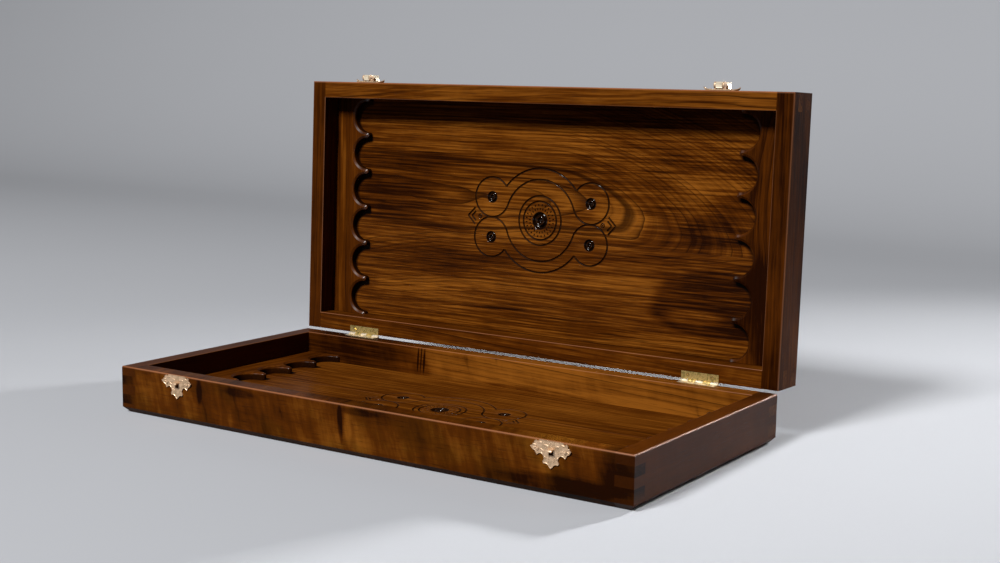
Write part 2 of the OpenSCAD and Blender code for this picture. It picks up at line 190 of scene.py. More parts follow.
# The noises in the wood: scale per metre along each axis, shift from the piece's seed, detail
# and roughness
WOOD_NOISES = {
    # Along the grain, across it and up
    "sway": ((3.2, 7, 7), 0, 1, 0.5),
    "wobble": ((16, 38, 38), 3, 2, 0.5),
    "drift": ((2, 2, 2), 7, 0, 0.5),
    "fibres": ((11, 460, 460), 0, 4, 0.65),
    "pores": ((45, 1500, 1500), 9, 1, 0.5),
    "blotch": ((8, 15, 15), 11, 4, 0.6),
    # Away from the pith and along the grain
    "uneven": ((55, 1.4, 0.3), 0, 3, 0.6),
    "strength": ((170, 3, 0), 1, 1, 0.5),
    "bands": ((520, 6, 0), 5, 2, 0.6),
    # Along lines that lean over the grain
    "flame": ((60, 11, 15), 2, 4, 0.65),
    "moss": ((24, 30, 30), 13, 3, 0.5),
}

# How far the pith sways and wobbles aside and in depth, how softly it starts to lean, and how far
# the clouds sway along the grain
SWAY_ASIDE = 35 * MM
WOBBLE_ASIDE = 4 * MM
SWAY_DEEP = 30 * MM
WOBBLE_DEEP = 3 * MM
LEAN_EASE = 60 * MM
CLOUD_SWAY = 30 * MM

# How much painted shade darkens the grooves, hollows, notch corners and notch walls, how much gloss
# lies on the raised places, how rough the lacquer is on each kind of piece, and how the painted
# shadows in the notch corners lie off the middle of their notches
GROOVE_SHADE = 0.85
HOLLOW_AND_NOTCH_SHADE = 0.8
NOTCH_WALL_SHADE = 0.75
BEAD_GLOSS = 0.4
TIP_GLOSS = 0.85
PLAIN_LACQUER = 0.24
CARVED_LACQUER = 0.07
NOTCHED_LACQUER = 0.34
FIBRE_RELIEF = 0.12 * MM
NOTCH_SHADOW_SHIFT_X = 2.5 * MM
NOTCH_SHADOW_SHIFT_Y = -4 * MM

# The scale per metre of the tarnish and the grit on brass, and how tarnish dims the colour
TARNISH_SCALE = 260
GRIT_SCALE = 1900
TARNISH_TINT = (0.34, 0.35, 0.28)
BRASS_RELIEF = 0.2 * MM

# The floor paper, which bends up into the backdrop
FLOOR_SIZE = 12
FLOOR_BEND_Y = 1.8
FLOOR_BEND_R = 0.9

# Each softbox: its place, where it looks, its side and how far its light fans out in degrees
LAMPS = {
    "key": ((-0.75, -4.83, 4.89), (0, 0.05, 0.12), 1.5, 180),
    "edge": ((1.01, 2.64, 1.28), (0.29, 0, 0.05), 0.3, 40),
    "side": ((2.6, 1.6, 1.1), (0.29, 0.05, 0.15), 1.0, 180),
}

# The camera: its place, its turns in degrees, its lens and sensor in millimetres and its reach
CAMERA_PLACE = (0.8279, -1.1513, 0.3451)
CAMERA_YAW = -33.433
CAMERA_PITCH = 8.087
CAMERA_ROLL = 0.897
CAMERA_LENS = 53.67
CAMERA_SENSOR = 36
CAMERA_FAR = 50

# Turns a piece of the lower half into its twin in the raised upper half
LID_PLACE = (
    Matrix.Translation((0, HINGE_Y, SEAM_Z))
    @ Matrix.Rotation(-OPEN_ANGLE, 4, "X")
    @ Matrix.Translation((0, -HINGE_Y, SEAM_Z))
    @ Matrix.Scale(-1, 4, (0, 0, 1))
)


def colour_setting(name, description, *steps):
    """A colour among the settings, in steps of 0 to 255, as the shader's own linear numbers."""
    shares = [step / 255 for step in steps]
    linear = [s / 12.92 if s <= 0.04045 else ((s + 0.055) / 1.055) ** 2.4 for s in shares]
    return FloatVectorProperty(
        name=name, description=description, default=linear, subtype="COLOR", min=0, max=1
    )


def length_setting(name, description, default):
    """A length among the settings."""
    return FloatProperty(name=name, description=description, default=default, subtype="DISTANCE")


def power_setting(name, description, default):
    """The power of a lamp among the settings."""
    return FloatProperty(name=name, description=description, default=default, subtype="POWER")


class CarvingSettings(bpy.types.PropertyGroup):
    """Sizes of the carving on the playing boards and rails."""

    line_width: length_setting("Line width", "Width of a carved line", 2.2 * MM)
    tick_count: IntProperty(
        name="Ticks", description="Tool marks in a ring of them", default=24, min=8
    )
    tick_length: length_setting("Tick length", "Length of a tool mark", 2.2 * MM)
    tick_width: length_setting("Tick width", "Width of a tool mark", 1.7 * MM)
    edge_round: length_setting(
        "Rail edge", "Width of the bevel along the upper edge of a rail", 2.8 * MM
    )


class WoodSettings(bpy.types.PropertyGroup):
    """Colours of the stained and lacquered walnut."""

    light: colour_setting("Light wood", "Colour of the brightest grain", 146, 86, 24)
    middle: colour_setting("Middle wood", "Colour of the plain grain", 88, 43, 5)
    dark: colour_setting(
        "Dark wood", "Colour of the dark grain, the growth lines and the sawn ends", 34, 11, 1
    )
    # Besides the pores, this colour is the painted shade in the grooves, hollows, notch corners and
    # notch walls
    line: colour_setting(
        "Stain", "Colour of the pores and of the stain in grooves and corners", 14, 5, 2
    )
    # Lighter colour on the edges that tilt up: partly real wear, partly a painted sheen
    rubbed_and_sheen: colour_setting(
        "Worn edge", "Colour of the edges, where the stain is rubbed thin", 176, 116, 80
    )
    gloss: FloatProperty(
        name="Lacquer", description="Weight of the lacquer on the wood", default=0.02, min=0, max=1,
        subtype="FACTOR",
    )


class MetalSettings(bpy.types.PropertyGroup):
    """Colours and shapes of the fittings."""

    brass: colour_setting(
        "Hinge brass", "Colour of the screws and the upper hinge leaves", 236, 206, 134
    )
    rose: colour_setting("Latch brass", "Colour of the plates with their nails", 228, 192, 156)
    pale: colour_setting(
        "Rubbed brass", "Colour of the hasps and the lower hinge leaves", 250, 232, 204
    )
    curl: length_setting("Curl", "Rise of the tips of an upper plate's wings", 2.6 * MM)


class StageSettings(bpy.types.PropertyGroup):
    """Floor and lamps."""

    floor: colour_setting("Floor", "Colour of the floor and backdrop", 196, 198, 203)
    bounce: colour_setting("Bounce", "Colour that the floor throws back on the board", 72, 73, 77)
    key: power_setting("Key light", "Power of the key light", 530)
    edge: power_setting("Edge light", "Power of the edge light", 5)
    side: power_setting("Side light", "Power of the side light", 8)
    air: FloatProperty(
        name="Air", description="Strength of the light from all round", default=0.035, min=0
    )


class Wire:
    """A value in a finish that is being drawn up, with the arithmetic of numbers."""

    def __init__(self, finish, socket):
        self.finish = finish
        self.socket = socket

    def __add__(self, other):
        return self.finish.math("ADD", self, other)

    def __sub__(self, other):
        return self.finish.math("SUBTRACT", self, other)

    def __rsub__(self, other):
        return self.finish.math("SUBTRACT", other, self)

    def __mul__(self, other):
        return self.finish.math("MULTIPLY", self, other)

    def __truediv__(self, other):
        return self.finish.math("DIVIDE", self, other)

    def __pow__(self, other):
        return self.finish.math("POWER", self, other)

    __radd__ = __add__
    __rmul__ = __mul__


class Finish:
    """A material that is drawn up node by node round its principled shader."""

    def __init__(self, name):
        self.material = bpy.data.materials.new(name)
        self.material.use_nodes = True
        self.nodes = self.material.node_tree.nodes
        self.links = self.material.node_tree.links
        self.shader = self.nodes["Principled BSDF"]

    def feed(self, socket, value):
        """Links a wire to a socket, or sets the socket's own value."""
        if isinstance(value, Wire):
            self.links.new(value.socket, socket)
        else:
            socket.default_value = value

    def node(self, kind, inputs, output=0, stops=(), **settings):
        """Adds a node, sets it up, feeds its sockets and returns one of its outputs."""
        made = self.nodes.new(kind)
        for key, value in settings.items():
            setattr(made, key, value)
        for index, (place, tone) in enumerate(stops):
            elements = made.color_ramp.elements
            element = elements[index] if index < 2 else elements.new(place)
            element.position = place
            element.color = (*tone, 1)
        for key, value in inputs.items():
            self.feed(made.inputs[key], value)
        return Wire(self, made.outputs[output])

    def math(self, operation, first, second=0.0):
        """A Math node on two numbers."""
        return self.node("ShaderNodeMath", {0: first, 1: second}, operation=operation)

    def length(self, first, second):
        """The length of the diagonal of two lengths."""
        return self.math("SQRT", first * first + second * second)

    def mix(self, share, first, second, blend="MIX"):
        """The first colour with a share of the second."""
        tones = [tone if isinstance(tone, Wire) else (*tone, 1) for tone in (first, second)]
        return self.node(
            "ShaderNodeMix", {0: share, 6: tones[0], 7: tones[1]}, output=2, data_type="RGBA",
            blend_type=blend,
        )

    def rise(self, value, low, high):
        """A smooth step from 0 at the low value to 1 at the high one."""
        return self.node(
            "ShaderNodeMapRange", {"Value": value, "From Min": low, "From Max": high},
            interpolation_type="SMOOTHSTEP",
        )

    def split(self, vector):
        """The three numbers of a vector."""
        parts = self.node("ShaderNodeSeparateXYZ", {0: vector})
        return [Wire(self, socket) for socket in parts.socket.node.outputs]

    def join(self, x, y, z):
        """A vector of three numbers."""
        return self.node("ShaderNodeCombineXYZ", {0: x, 1: y, 2: z})

    def streaks(self, place, stretch, shift=0.0, detail=2.0, roughness=0.5):
        """Noise round 0.5 whose scale along each axis is given per metre."""
        vector = self.node(
            "ShaderNodeMapping",
            {"Vector": place, "Location": (shift, -shift, 0.5 * shift), "Scale": stretch},
        )
        return self.node(
            "ShaderNodeTexNoise",
            {"Vector": vector, "Scale": 1.0, "Detail": detail, "Roughness": roughness},
        )

    def surface(self, inputs):
        """Feeds sockets of the principled shader by their names."""
        for key, value in inputs.items():
            self.feed(self.shader.inputs[key], value)

    def bump(self, height, distance):
        """Raises the surface by a height of 0 to 1 times a distance."""
        inputs = {"Height": height, "Distance": distance, "Strength": 1.0}
        self.surface({"Normal": self.node("ShaderNodeBump", inputs)})


@dataclass
class Figure:
    """How the grain of one piece of wood lies, in its half's own frame and in metres."""

    seed: float
    # Place of the pith across the grain and its depth below the piece
    pith: tuple
    tilt: float
    ring: float
    # Past a point along the grain the pith leans aside and dives
    bend_from: float = 0.0
    lean: float = 0.0
    dive: float = 0.0
    sway: float = 1.0
    streaks: float = 1.0
    fibres: float = 0.7
    curl: float = 0.0
    mottle: float = 1.0
    olive: float = 0.0
    shade: float = 0.0
    gloss: float = 0.0
    edge: float = 0.3
    # How much the edges take the lighter colour: partly wear, partly a painted sheen
    wear_and_sheen: float = 0.2
    # Darkness and gloss of the sawn ends
    ends: float = 0.3
    end_gloss: float = 0.02
    # Radii of single dark growth lines
    bold: tuple = ()
    # Lighter and darker clouds: place along, place across or up, reaches, weight and any softness
    patches: tuple = ()
    upright: bool = False
    notched: bool = False


def half_place(finish, raised):
    """A point's place and facing in the lower half's frame, also for the raised half."""
    place = finish.node("ShaderNodeTexCoord", {}, output="Object")
    if not raised:
        return place, finish.node("ShaderNodeTexCoord", {}, output="Normal")
    hinge = Vector((0, HINGE_Y, SEAM_Z))
    shift = hinge - Matrix.Rotation(OPEN_ANGLE, 3, "X") @ hinge
    turned = finish.node(
        "ShaderNodeMapping", {"Vector": place, "Location": shift, "Rotation": (OPEN_ANGLE, 0, 0)}
    )
    facing = finish.node(
        "ShaderNodeMapping",
        {
            "Vector": finish.node("ShaderNodeTexCoord", {}, output="Normal"),
            "Rotation": (OPEN_ANGLE, 0, 0),
        },
        vector_type="NORMAL",
    )
    x, y, z = finish.split(turned)
    east, north, up = finish.split(facing)
    return finish.join(x, y, 2 * SEAM_Z - z), finish.join(east, north, 0 - up)


class Walnut(Finish):
    """Stained and lacquered walnut, whose growth rings lie round a slanted pith."""

    def __init__(self, name, figure, raised, crosswise):
        super().__init__(name)
        self.figure = figure
        self.wood = bpy.context.scene.board_wood
        place, facing = half_place(self, raised)
        facing = self.split(facing)
        self.x, self.y, self.z = self.split(place)
        self.along, self.across = (self.y, self.x) if crosswise else (self.x, self.y)
        grain = self.join(self.along, self.across, self.z)
        leaning = self.along + self.across * 0.3 + self.z * 0.25
        self.leaning = self.join(leaning, self.across, self.z)
        self.sway = (self.noise(grain, "sway") - 0.5) * figure.sway
        self.wobble = self.noise(grain, "wobble") - 0.5
        self.drift = self.noise(grain, "drift")
        self.fibres = self.noise(grain, "fibres") - 0.5
        self.pores = self.rise(self.noise(grain, "pores"), 0.6, 0.72)
        self.blotch = self.noise(grain, "blotch") - 0.5
        self.flame = self.noise(self.leaning, "flame") - 0.5
        self.radius = self.from_pith()
        rings = self.join(self.radius, self.along, self.along)
        self.uneven = self.noise(rings, "uneven") - 0.5
        self.strength = self.noise(rings, "strength")
        self.bands = self.noise(rings, "bands") - 0.5
        self.cut_ends = self.rise(self.math("ABSOLUTE", facing[1 if crosswise else 0]), 0.75, 0.95)
        self.edge = self.rise(facing[2], 0.12, 0.35) * (1 - self.rise(facing[2], 0.95, 0.995))

    def noise(self, place, kind):
        """One of the noises in the wood."""
        stretch, shift, detail, roughness = WOOD_NOISES[kind]
        return self.streaks(place, stretch, self.figure.seed + shift, detail, roughness)

    def from_pith(self):
        """The distance from the pith, which leans aside and dives past a point along the grain."""
        figure = self.figure
        past = self.math("MAXIMUM", self.along - figure.bend_from, 0.0)
        lean = past * past / (past + LEAN_EASE) * figure.lean
        aside = self.across - figure.pith[0] - lean
        aside = aside + self.sway * SWAY_ASIDE + self.wobble * WOBBLE_ASIDE
        deep = self.z + figure.pith[1] + self.along * figure.tilt + past * past * figure.dive
        deep = deep + self.sway * SWAY_DEEP + self.wobble * WOBBLE_DEEP
        return self.length(aside, deep)

    def from_tips(self):
        """The distance from the line along the cusps' tips, towards the end walls."""
        return self.math("ABSOLUTE", self.x) - (INNER_L / 2 - RAIL_REACH)

    def patch(self, along, across, reach_along, reach_across, weight, soft=0.4):
        """A lighter or darker cloud with a ragged rim."""
        level = self.z if self.figure.upright else self.across
        east = (self.along - along + self.sway * CLOUD_SWAY) / reach_along
        north = (level - across + self.wobble * 0.25 * reach_across) / reach_across
        away = self.length(east, north) + self.uneven * 0.7
        return (1 - self.rise(away, 1 - soft, 1 + soft)) * weight

    def tone(self):
        """How light the wood is, from 0 to 1, without its lines."""
        figure = self.figure
        tone = (
            0.5 - figure.shade
            + self.uneven * 0.5 * figure.streaks
            + self.bands * 0.7 * figure.streaks
            + self.fibres * figure.fibres
            + self.blotch * figure.mottle
            + self.flame * figure.curl
        )
        for patch in figure.patches:
            tone = tone + self.patch(*patch)
        return tone

    def growth_lines(self):
        """The dark ends of the growth rings, single bold ones, and the dips of the flame."""
        figure = self.figure
        phase = self.math("FRACT", self.radius / figure.ring + self.drift)
        latewood = phase**6 * self.rise(phase, 1.0, 0.95)
        lines = latewood * (0.3 + self.rise(self.strength, 0.4, 0.64)) * figure.streaks
        for ring in figure.bold:
            near = self.math("ABSOLUTE", self.radius - ring)
            lines = lines + (1 - self.rise(near, 0.4 * MM, 1.5 * MM)) * 0.7
        if figure.curl:
            lines = lines + self.rise(self.flame, -0.15, -0.24) * figure.curl * 0.7
        return self.math("MINIMUM", lines, 0.8)

    def stained(self):
        """The colour of the wood with its lines, pores and sawn ends, and its edges lightened for
        wear and a painted sheen.
        """
        wood = self.wood
        tint = self.node(
            "ShaderNodeValToRGB", {0: self.tone()},
            stops=((0.1, tuple(wood.dark)), (0.95, tuple(wood.light)), (0.5, tuple(wood.middle))),
        )
        if self.figure.olive:
            moss = self.rise(self.noise(self.leaning, "moss"), 0.42, 0.6)
            tint = self.mix(moss * self.figure.olive, tint, (0.74, 1.0, 0.9), "MULTIPLY")
        tint = self.mix(self.growth_lines(), tint, wood.dark)
        tint = self.mix(self.pores * 0.45, tint, wood.line)
        tint = self.mix(self.cut_ends * self.figure.ends, tint, wood.dark)
        # Edges that tilt up are lightened: partly wear, partly a painted sheen
        return self.mix(self.edge * self.figure.wear_and_sheen, tint, wood.rubbed_and_sheen)

    def corners(self):
        """Painted shadows that the cusps cast into the corners between a playing board and the
        notches of its rails.
        """
        from_tips = self.from_tips()
        from_line = from_tips - CUSP_W / 2 + NOTCH_SHADOW_SHIFT_X
        from_notch = (self.math("FRACT", self.y / PITCH) - 0.5) * PITCH + NOTCH_SHADOW_SHIFT_Y
        reach = self.length(from_line, from_notch)
        corner = self.rise(reach, NOTCH_R - 2 * MM, NOTCH_R + 1 * MM)
        return corner * self.rise(from_tips, -3 * MM, 1.5 * MM)

    def hollows(self):
        """The round hollows with their beads."""
        from_side = self.math("ABSOLUTE", self.x) - LOOP_X
        from_row = self.math("ABSOLUTE", self.y) - LOOP_Y
        small, large = self.length(from_side, from_row), self.length(self.x, self.y)
        return self.rise(small, SMALL_HOLLOW_R, SMALL_HOLLOW_R - 0.4 * MM) + self.rise(
            large, HOLLOW_R, HOLLOW_R - 0.4 * MM
        )


def walnut(name, figure, raised=False, crosswise=False, carved=False):
    """The finish of a plain, notched or carved piece of walnut."""
    finish = Walnut(name, figure, raised, crosswise)
    line = finish.wood.line
    tint = finish.stained()
    coat = finish.wood.gloss + figure.gloss * (1 - finish.cut_ends)
    coat = coat + finish.cut_ends * figure.end_gloss + finish.edge * figure.edge
    lacquer = PLAIN_LACQUER
    if carved:
        upper = finish.rise(finish.z, PANEL_T - 5 * MM, PANEL_T - 4 * MM)
        # Painted shade: the carved lines grow darker with depth, towards the dark pore colour
        groove_shade = 1 - finish.rise(finish.z, PANEL_T - 0.35 * MM, PANEL_T - 0.04 * MM)
        hollows = finish.hollows() * upper
        tint = finish.mix(groove_shade * upper * GROOVE_SHADE, tint, line)
        # Painted shadow of the cusps in the corners of the notches
        tint = finish.mix(finish.corners() * upper * HOLLOW_AND_NOTCH_SHADE, tint, line)
        # Painted shade: the round hollows, beads and all, are darkened
        tint = finish.mix(hollows * HOLLOW_AND_NOTCH_SHADE, tint, line)
        coat = coat + hollows * BEAD_GLOSS
        lacquer = CARVED_LACQUER
    if figure.notched:
        rail_top = PANEL_T + RAIL_H
        # Painted shade: the rails' side walls below their bevel are darkened
        shaded_notch_wall = finish.rise(finish.z, rail_top - 1.5 * MM, rail_top - 3 * MM)
        tint = finish.mix(shaded_notch_wall * NOTCH_WALL_SHADE, tint, line)
        tips = 1 - finish.rise(finish.from_tips(), 3 * MM, 7 * MM)
        coat = coat + tips * finish.edge * TIP_GLOSS
        lacquer = NOTCHED_LACQUER
    finish.surface({
        "Base Color": tint,
        "Roughness": 0.36 + finish.fibres * 0.16 - finish.blotch * 0.12,
        "Specular IOR Level": 0.015,
        "Coat Weight": coat,
        "Coat Roughness": lacquer,
    })
    finish.bump(finish.fibres * 0.5 - finish.pores * 0.6, FIBRE_RELIEF)
    return finish.material


def metal(name, tone, roughness, dullness, metallic=0.8):
    """Cast brass, rubbed by use, with a little tarnish."""
    finish = Finish(name)
    place = finish.node("ShaderNodeTexCoord", {}, output="Object")
    cloud = finish.streaks(place, [TARNISH_SCALE] * 3, 4.0, 3.0, 0.6)
    grit = finish.streaks(place, [GRIT_SCALE] * 3, 1.0, 2.0, 0.6)
    tarnish = finish.rise(cloud, 0.42, 0.62) * dullness
    dulled = [share * part for share, part in zip(tone, TARNISH_TINT)]
    finish.surface({
        "Base Color": finish.mix(tarnish, tone, dulled),
        "Roughness": roughness + tarnish * 0.25 + (grit - 0.5) * 0.2,
        "Metallic": metallic,
    })
    finish.bump(grit * 0.1 + cloud * 0.9, dullness * BRASS_RELIEF)
    return finish.material


def dress(piece, material):
    """Gives a piece its one finish."""
    piece.data.materials.clear()
    piece.data.materials.append(material)


def dress_nodes(material, *names):
    """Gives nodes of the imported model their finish."""
    for name in names:
        dress(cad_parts[name], material)


def declare(piece, body, node):
    """Says which body a piece moves with, and hides the node that it stands for."""
    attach(piece, body)
    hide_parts(node)


def deselect():
    """Leaves nothing selected."""
    for item in bpy.context.selected_objects:
        item.select_set(False)


def take(piece):
    """Makes a piece the only selected one."""
    deselect()
    piece.select_set(True)
    bpy.context.view_layer.objects.active = piece


def settle(name):
    """Names the new primitive and applies its place."""
    piece = bpy.context.object
    piece.name = name
    take(piece)
    bpy.ops.object.transform_apply(location=True, rotation=True, scale=True)
    return piece


def block(name, low, high):
    """A block between two corners."""
    low, high = Vector(low), Vector(high)
    deselect()
    bpy.ops.mesh.primitive_cube_add(size=1, location=(low + high) / 2, scale=high - low)
    return settle(name)


def slab(name, outline, low, high):
    """A slab with an outline, between two heights."""
    deselect()
    bpy.ops.mesh.primitive_circle_add(vertices=len(outline), radius=1, fill_type="NGON")
    piece = settle(name)
    for vertex, (x, y) in zip(piece.data.vertices, outline):
        vertex.co = (x, y, low)
    choose(piece, "FACE", lambda face: True)
    bpy.ops.mesh.extrude_region_move(TRANSFORM_OT_translate={"value": (0, 0, high - low)})
    turn_outwards()
    return piece


def rod(name, radius, start, end, vertices=32):
    """A cylinder between two points."""
    start, end = Vector(start), Vector(end)
    turn = (end - start).to_track_quat("Z", "Y").to_euler()
    deselect()
    bpy.ops.mesh.primitive_cylinder_add(
        vertices=vertices, radius=radius, depth=(end - start).length, location=(start + end) / 2,
        rotation=turn,
    )
    return settle(name)


def choose(piece, mode, wanted):
    """Goes into edit mode with the faces or edges selected that are wanted."""
    take(piece)
    bpy.ops.object.mode_set(mode="EDIT")
    bpy.ops.mesh.select_mode(type=mode)
    bpy.ops.mesh.select_all(action="DESELECT")
    mesh = bmesh.from_edit_mesh(piece.data)
    for item in mesh.faces if mode == "FACE" else mesh.edges:
        item.select_set(wanted(item))
    mesh.select_flush(True)
    bmesh.update_edit_mesh(piece.data)


def leave():
    """Goes back to object mode."""
    bpy.ops.object.mode_set(mode="OBJECT")


def turn_outwards():
    """Turns all faces outwards and goes back to object mode."""
    bpy.ops.mesh.select_all(action="SELECT")
    bpy.ops.mesh.normals_make_consistent(inside=False)
    leave()


def middle(edge):
    """The middle of an edge."""
    return (edge.verts[0].co + edge.verts[1].co) / 2


def sharp(edge, least=0.6):
    """Whether the faces at an edge meet at a corner."""
    return len(edge.link_faces) == 2 and edge.calc_face_angle() > least


def soften(piece, width, segments=2, wanted=sharp):
    """Rounds edges of a piece in edit mode."""
    choose(piece, "EDGE", wanted)
    bpy.ops.mesh.bevel(offset=width, segments=segments, affect="EDGES", clamp_overlap=True)
    leave()


def combine(piece, tool, operation, keep=False):
    """Joins a tool shape to a piece or cuts it away, and drops the tool unless it is kept."""
    take(piece)
    change = piece.modifiers.new("combine", "BOOLEAN")
    change.operation = operation
    change.solver = "MANIFOLD"
    change.object = tool
    bpy.ops.object.modifier_apply(modifier=change.name)
    if not keep:
        bpy.data.objects.remove(tool)


def gather(name, tools):
    """Joins tool shapes that don't touch into one object."""
    take(tools[0])
    for tool in tools:
        tool.select_set(True)
    bpy.ops.object.join()
    tools[0].name = name
    return tools[0]


def smooth(piece, angle=35):
    """Shades a piece smooth, except at its corners."""
    take(piece)
    bpy.ops.object.shade_smooth_by_angle(angle=math.radians(angle))


def twin(piece, name, place, mirrored):
    """A copy of a piece with its own mesh, put in its place."""
    take(piece)
    bpy.ops.object.duplicate()
    copy = bpy.context.object
    copy.name = name
    copy.data.transform(place)
    if mirrored:
        copy.data.flip_normals()
    return copy


def ring_tool(radius):
    """The cut of a round gouge along a full ring."""
    half = bpy.context.scene.board_carving.line_width / 2
    deselect()
    bpy.ops.mesh.primitive_torus_add(
        location=(0, 0, PANEL_T), major_radius=radius, minor_radius=half, major_segments=96,
        minor_segments=GOUGE_SIDES,
    )
    return settle("ring_tool")


def arc_tool(centre, radius, start, finish):
    """The cut of a round gouge along an arc, counterclockwise between two angles."""
    half = bpy.context.scene.board_carving.line_width / 2
    centre = Vector((*centre, PANEL_T))
    deselect()
    bpy.ops.mesh.primitive_circle_add(
        vertices=GOUGE_SIDES, radius=half, fill_type="NGON",
        location=centre + radius * Vector((math.cos(start), math.sin(start), 0)),
        rotation=(math.pi / 2, 0, start),
    )
    tool = settle("arc_tool")
    choose(tool, "FACE", lambda face: True)
    steps = math.ceil((finish - start) / ARC_STEP)
    bpy.ops.mesh.spin(steps=steps, angle=finish - start, center=centre, axis=(0, 0, -1))
    turn_outwards()
    return tool


def line_tool(start, end):
    """The cut of a round gouge along a straight line."""
    half = bpy.context.scene.board_carving.line_width / 2
    return rod("line_tool", half, (*start, PANEL_T), (*end, PANEL_T), GOUGE_SIDES)


def bead_tool(centre, radius):
    """The cut that leaves a ringed bead in a round hollow, as a wave from its rim to its middle."""
    depths = [
        BEAD_DEPTH * radius * (1 - math.cos(3 * math.pi * step / BEAD_STEPS)) / 2
        for step in range(BEAD_STEPS + 1)
    ]
    tool = rod("bead_tool", radius, (*centre, PANEL_T), (*centre, PANEL_T + 2 * MM), vertices=40)
    choose(tool, "FACE", lambda face: face.normal.z < -0.9)
    for outer, inner in zip(depths, depths[1:]):
        bpy.ops.mesh.inset(thickness=BEAD_REACH * radius / BEAD_STEPS, depth=inner - outer)
    leave()
    return tool


def tick_tools(radius, turn):
    """A ring of short radial tool marks."""
    carving = bpy.context.scene.board_carving
    side = carving.tick_width / math.sqrt(2)
    tools = []
    for index in range(carving.tick_count):
        angle = 2 * math.pi * (index + turn) / carving.tick_count
        deselect()
        bpy.ops.mesh.primitive_cube_add(
            size=1, location=(radius * math.cos(angle), radius * math.sin(angle), PANEL_T),
            rotation=(math.pi / 4, 0, angle), scale=(carving.tick_length, side, side),
        )
        tools.append(settle("tick_tool"))
    return tools


def carving_tools():
    """All cuts of the medallion, in groups of shapes that don't touch each other."""
    loop_far = math.hypot(LOOP_X, LOOP_Y)
    loop_angle = math.atan2(LOOP_Y, LOOP_X)
    inner_arc_r = loop_far - LOOP_R
    cusp_along = (loop_far**2 + ARC_R**2 - LOOP_R**2) / (2 * loop_far)
    cusp_angle = loop_angle + math.acos(cusp_along / ARC_R)
    cusp = ARC_R * Vector((math.cos(cusp_angle), math.sin(cusp_angle)))
    loop_start = math.pi + loop_angle
    loop_end = 2 * math.pi + math.atan2(cusp.y - LOOP_Y, cusp.x - LOOP_X)
    groups = [
        [ring_tool(radius) for radius in RING_RADII]
        + [bead_tool((0, 0), HOLLOW_R)]
        + [bead_tool((x, y), SMALL_HOLLOW_R) for x in (-LOOP_X, LOOP_X) for y in (-LOOP_Y, LOOP_Y)]
        + [bead_tool((x, 0), STAMP_R) for x in (-STAMP_X, STAMP_X)]
        + tick_tools(TICK_RADII[0], 0)
        + tick_tools(TICK_RADII[1], 0.5),
    ]
    for row, start, end in ((1, loop_start, loop_end), (-1, -loop_end, -loop_start)):
        groups.append([
            arc_tool((LOOP_X, row * LOOP_Y), LOOP_R, start, end),
            arc_tool((-LOOP_X, row * LOOP_Y), LOOP_R, math.pi - end, math.pi - start),
        ])
        for along, aside, tip in DIAMOND_LINES:
            groups.append([
                line_tool((side * along, row * aside), (side * tip, 0)) for side in (-1, 1)
            ])
    groups.append([
        arc_tool((0, 0), radius, half + angle, half + math.pi - angle)
        for radius, angle in ((inner_arc_r, loop_angle), (ARC_R, cusp_angle))
        for half in (0, math.pi)
    ])
    return [gather("carving_tool", group) for group in groups]


def plank(name, near, far):
    """One plank of the playing board with its tongue, and the edge of the glue joint eased."""
    half_l, half_d = INNER_L / 2, INNER_D / 2
    piece = block(
        name,
        (PANEL_CLEAR - half_l, max(near, PANEL_CLEAR - half_d), 0),
        (half_l - PANEL_CLEAR, min(far, half_d - PANEL_CLEAR), PANEL_T),
    )
    soften(piece, PANEL_EASE, 1, lambda edge: middle(edge).z > PANEL_T - 1e-5)
    reach_l, reach_d = half_l + TONGUE_DEPTH, half_d + TONGUE_DEPTH
    tongue = block(
        "tongue",
        (-reach_l, max(near, -reach_d), (PANEL_T - TONGUE_T) / 2),
        (reach_l, min(far, reach_d), (PANEL_T + TONGUE_T) / 2),
    )
    combine(piece, tongue, "UNION")
    return piece


